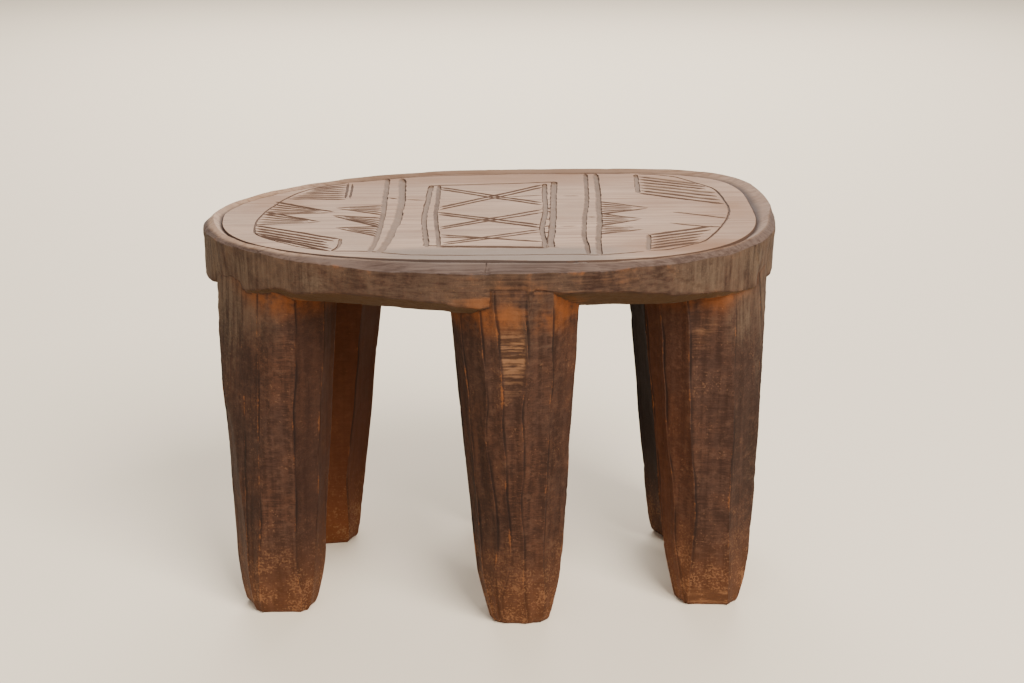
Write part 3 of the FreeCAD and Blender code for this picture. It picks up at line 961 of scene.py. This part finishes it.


# Some tones stand in for light: the darkest is soot and also painted shade, the red heart tone also paints
# shade with warm bounce light, and the deep ember tone is painted warm bounce light.
woodTones = {
    "brown": (0.0500, 0.0225, 0.0135),
    "russet": (0.0660, 0.0255, 0.0125),
    "umber": (0.0270, 0.0100, 0.0048),
    "lightBrown": (0.1100, 0.0520, 0.0290),
    "heartRedAndBounce": (0.1050, 0.0240, 0.0026),
    "olive": (0.0480, 0.0230, 0.0070),
    "ember": (0.2300, 0.0720, 0.0170),
    "bounceEmber": (0.1900, 0.0520, 0.0085),
    "tan": (0.2000, 0.0940, 0.0430),
    "sootAndShade": (0.0110, 0.0048, 0.0030),
    "weather": (0.1150, 0.0740, 0.0450),
    "pale": (0.4250, 0.2650, 0.1690),
    "paleGrain": (0.2450, 0.1370, 0.0820),
    "paleBrown": (0.3000, 0.1760, 0.1080),
    "paleGrey": (0.2900, 0.2030, 0.1430),
    "agedPale": (0.2150, 0.1010, 0.0450),
    "rim": (0.1280, 0.0810, 0.0590),
    "rimDark": (0.0600, 0.0330, 0.0225),
    "marginGrey": (0.1850, 0.1280, 0.0920),
    "grooveFloor": (0.1700, 0.1030, 0.0650),
    "grooveWall": (0.0780, 0.0395, 0.0240),
    "coveShade": (0.0580, 0.0330, 0.0230),
}

woodLook = {
    "seatGrain": (0.45, 0.4),    # how much the lines along the block and the upright strokes show
    "legGrain": (0.24, 0.62),
    "weathering": 0.6,
    # share of the orange: raw wood and painted warm bounce light
    "rawAndBounceShare": 0.5,
    "ridgeGlow": 0.5,
    "notchShade": 0.75,
    "scuffHeight": 0.085,
    "bumpStrength": 0.6,
    "bumpDepth": 0.0009,
    "gloss": 0.18,
}


def woodFinish(name, hasTop):
    material = bpy.data.materials.new(name)
    material.use_nodes = True
    tree = material.node_tree
    tree.nodes.clear()
    Wire.tree = tree
    tones = woodTones
    look = woodLook
    place = Wire.node("TexCoord", out="Object")
    split = Wire.node("SeparateXYZ", None, {0: place}).socket.node.outputs
    x, y, z = (Wire(socket) for socket in split)
    streak, hair, checks, strokes = (grain(place, n) for n in ("streak", "hair", "checks", "strokes"))
    cloud, patch, fleck, mottle = (grain(place, n) for n in ("cloud", "patch", "fleck", "mottle"))
    endGrain, grey, rawAndBounce = (attribute(n) for n in ("endGrain", "grey", "rawAndBounce"))
    if hasTop:
        zone, carve, wall, aged = (attribute(n) for n in ("zone", "carve", "wall", "aged"))
        upright = between(endGrain, 0.05, 0.25)
    else:
        wear, bare, recessBounce, notchAndShade = (attribute(n) for n in ("wear", "bare", "recessBounce", "notchAndShade"))
        innerHeartAndShade, facetShade, flush = (attribute(n) for n in ("innerHeartAndShade", "facetShade", "flush"))
        upright = between(endGrain + 0.4 * flush, 0.3, 0.8)
    lines = streak + (checks - streak) * upright

    # brown ground with dark grain, mottles and pale specks
    body = tint(between(cloud + 0.5 * (patch - 0.5), 0.35, 0.65), tones["brown"], tones["russet"])
    along, upDown = look["seatGrain"] if hasTop else look["legGrain"]
    shade = lines * along + hair * 0.55 + strokes * upDown + (patch - 0.5) * 0.3
    body = tint(1 - between(shade, 0.545, 0.805), body, tones["umber"])
    body = tint(between(mottle, 0.5, 0.72) * 0.34, body, tones["lightBrown"])
    body = tint((1 - between(mottle, 0.3, 0.5)) * 0.55, body, tones["umber"])
    specks = between(fleck * 0.75 + patch * 0.45, 0.70, 0.82)
    body = tint(specks * 0.4, body, tones["tan"])
    # grey weathered places, and orange ones that come last: raw wood with painted warm bounce light under
    # the seat
    weathered = between(grey + 0.9 * (patch - 0.5) + 0.7 * (lines - 0.5), 0.3, 0.95)
    streaked = tint(between(lines * 0.7 + fleck * 0.4, 0.42, 0.68), tones["sootAndShade"], tones["weather"])
    body = tint(weathered * look["weathering"], body, streaked)
    lasting = (0.42 + 0.25 * upright) * between(lines + patch, 0.6, 1.3)
    rawAndBounceMask = between(rawAndBounce + 0.9 * (patch - 0.5) + 0.8 * (lines - 0.5), 0.35, 1.0)
    if hasTop:
        body = tint(between(zone, 0.9, 1.1) * lasting, body, tones["weather"])
        under = (1 - between(zone, 0.75, 1.0)) * (1 - between(endGrain, 0.3, 0.7))
        body = tint(under * 0.88, body, tones["olive"])
    else:
        # inward faces: red heartwood, with painted shade and warm bounce light
        body = tint(innerHeartAndShade * (0.45 + 0.5 * cloud), body, tones["heartRedAndBounce"])
        # painted shade on whole facets
        body = tint(facetShade, body, tones["sootAndShade"])
        body = tint(flush * lasting, body, tones["weather"])
        # painted warm bounce light on the leg tops in the shaded recess under the seat
        body = tint(recessBounce * between(patch + 0.3 * lines, 0.4, 0.8) * 0.72, body, tones["bounceEmber"])
        # the ribbed patch, the ridges with painted shade in their notches, and the scuffed foot
        ribs = between(lines * 1.2 + patch * 0.25 + hair * 0.5, 0.92, 1.16)
        ragged = between(bare + 0.6 * (patch - 0.5), 0.12, 0.9)
        body = tint(ragged * 0.5, body, tones["umber"])
        body = tint(ragged * (0.12 + 0.88 * ribs), body, tones["tan"])
        body = tint(between(notchAndShade, 0.15, 0.65) * look["notchShade"], body, tones["sootAndShade"])
        chips = between(wear * 0.31 + patch + 0.35 * (fleck - 0.5), 0.8, 0.95)
        body = tint(chips * look["ridgeGlow"], body, tones["ember"])
        low = 1 - between(z, 0.0, look["scuffHeight"])
        scuffs = between(fleck * 0.8 + patch * 0.6 + hair * 0.3, 0.87, 0.98)
        body = tint(low * scuffs * 0.8, body, tones["tan"])
        body = tint(low * 0.22, body, tones["ember"])
    body = tint(rawAndBounceMask * look["rawAndBounceShare"], body, tones["ember"])
    rough = 0.58 + 0.2 * hair + 0.1 * patch
    relief = hair * 0.7 + lines * 0.5 + strokes * 0.8 + fleck * 0.25
    if hasTop:
        # the worn panel, the rim's strip, the cove and the carved grooves
        top = between(zone + 0.22 * (patch - 0.5), 1.99, 2.12)
        relief = relief * (1 - 0.55 * top)
        grainLine = between(streak * 0.75 + hair * 0.35, 0.40, 0.62)
        field = tint(grainLine, tones["paleGrain"], tones["pale"])
        drawn = grain(place, "drawn")
        field = tint(between(drawn, 0.42, 0.66) * 0.7, field, tones["paleBrown"])
        field = tint(between(cloud, 0.35, 0.7) * 0.3, field, tones["paleGrey"])
        margin = between(0.02 * (cloud - 0.5) - y, 0.070, 0.084) * (1 - between(x * x, 0.003, 0.012))
        field = tint(aged * (0.6 + 0.8 * (drawn - 0.3)), field, tones["agedPale"])
        field = tint(margin * 0.9, field, tones["marginGrey"])
        strip = between(streak * 0.45 + hair * 0.3 + cloud * 0.4, 0.44, 0.66)
        strip = tint(strip, tones["rimDark"], tones["rim"])
        leftEnd = between(0 - x, 0.09, 0.19)
        # the strip turns pale towards the crest, most at the left end: worn wood, and a painted highlight
        # along the crest
        strip = tint(between(zone + 0.4 * leftEnd, 2.7, 3.15) * (0.6 + 0.4 * leftEnd), strip, field)
        face = tint(between(zone, 4.35, 4.95), strip, field)
        cove = between(zone, 3.45, 3.98) * (1 - between(zone, 4.9, 5.0))
        face = tint(cove * 0.95, face, tones["coveShade"])
        # darker groove floors, and darker groove walls: old dirt and painted shade in the grooves
        face = tint(between(carve, 0.15, 0.7) * 0.9, face, tones["grooveFloor"])
        face = tint(wall * 0.9, face, tones["grooveWall"])
        body = tint(top, body, face)
        edge = between(zone, 1.8, 1.97) * (1 - between(zone, 2.06, 2.2))
        worn = between(patch + 0.3 * rawAndBounce, 0.58, 0.8)
        body = tint(edge * worn * 0.5, body, tones["ember"])
    bump = Wire.node("Bump", None, {"Strength": look["bumpStrength"], "Distance": look["bumpDepth"],
                                    "Height": relief})
    shader = Wire.node("BsdfPrincipled", None, {"Base Color": body, "Roughness": rough, "Normal": bump,
                                                "Specular IOR Level": look["gloss"]})
    end = tree.nodes.new("ShaderNodeOutputMaterial")
    tree.links.new(shader.socket, end.inputs["Surface"])
    return material


seatWood = woodFinish("seatWood", True)
legWood = woodFinish("legWood", False)
seat.data.materials.clear()
seat.data.materials.append(seatWood)
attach(seat, "root")
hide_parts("seat")
for name, piece in legs.items():
    piece.data.materials.clear()
    piece.data.materials.append(legWood)
    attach(piece, "root")
    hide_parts(legShapes[name]["node"])
print("finish: two woods")


studio = {
    "floorHalf": 6.0,
    "floorTone": (0.90, 0.74, 0.54),
    "floorRoughness": 0.75,
    "skyTone": (0.93, 0.96, 1.0),
    "skyStrength": 0.55,
    "lamps": {
        "key": {"place": (0.95, -1.6, 2.2), "size": 1.5, "power": 125},
        "fill": {"place": (-1.6, -1.9, 1.3), "size": 1.6, "power": 8},
        "back": {"place": (0.1, 1.8, 1.3), "size": 2.0, "power": 60},
    },
    "aim": (0, 0, 0.18),
}

bm = bmesh.new()
bmesh.ops.create_grid(bm, x_segments=4, y_segments=4, size=studio["floorHalf"])
floor = makeObject("floor", bm)
floorPaint = bpy.data.materials.new("floorPaint")
floorPaint.use_nodes = True
paint = floorPaint.node_tree.nodes["Principled BSDF"].inputs
paint["Base Color"].default_value = (*studio["floorTone"], 1)
paint["Roughness"].default_value = studio["floorRoughness"]
floor.data.materials.append(floorPaint)

sky = bpy.data.worlds.new("studioSky")
sky.use_nodes = True
skyLight = sky.node_tree.nodes["Background"].inputs
skyLight["Color"].default_value = (*studio["skyTone"], 1)
skyLight["Strength"].default_value = studio["skyStrength"]
bpy.context.scene.world = sky
for name, lamp in studio["lamps"].items():
    data = bpy.data.lights.new(name, "AREA")
    data.size = lamp["size"]
    data.energy = lamp["power"]
    made = bpy.data.objects.new(name, data)
    made.location = lamp["place"]
    towards = Vector(studio["aim"]) - Vector(lamp["place"])
    made.rotation_euler = towards.to_track_quat("-Z", "Y").to_euler()
    bpy.context.scene.collection.objects.link(made)

view = {"place": (-0.0334, -1.4457, 0.7359), "turn": (69.38, 0.0, -2.0), "lens": 70.3125, "sensor": 36.0}
camera = bpy.data.objects.new("camera", bpy.data.cameras.new("camera"))
camera.location = view["place"]
camera.rotation_euler = [math.radians(a) for a in view["turn"]]
camera.data.lens = view["lens"]
camera.data.sensor_width = view["sensor"]
bpy.context.scene.collection.objects.link(camera)
bpy.context.scene.camera = camera
print("studio: floor, lamps and camera")
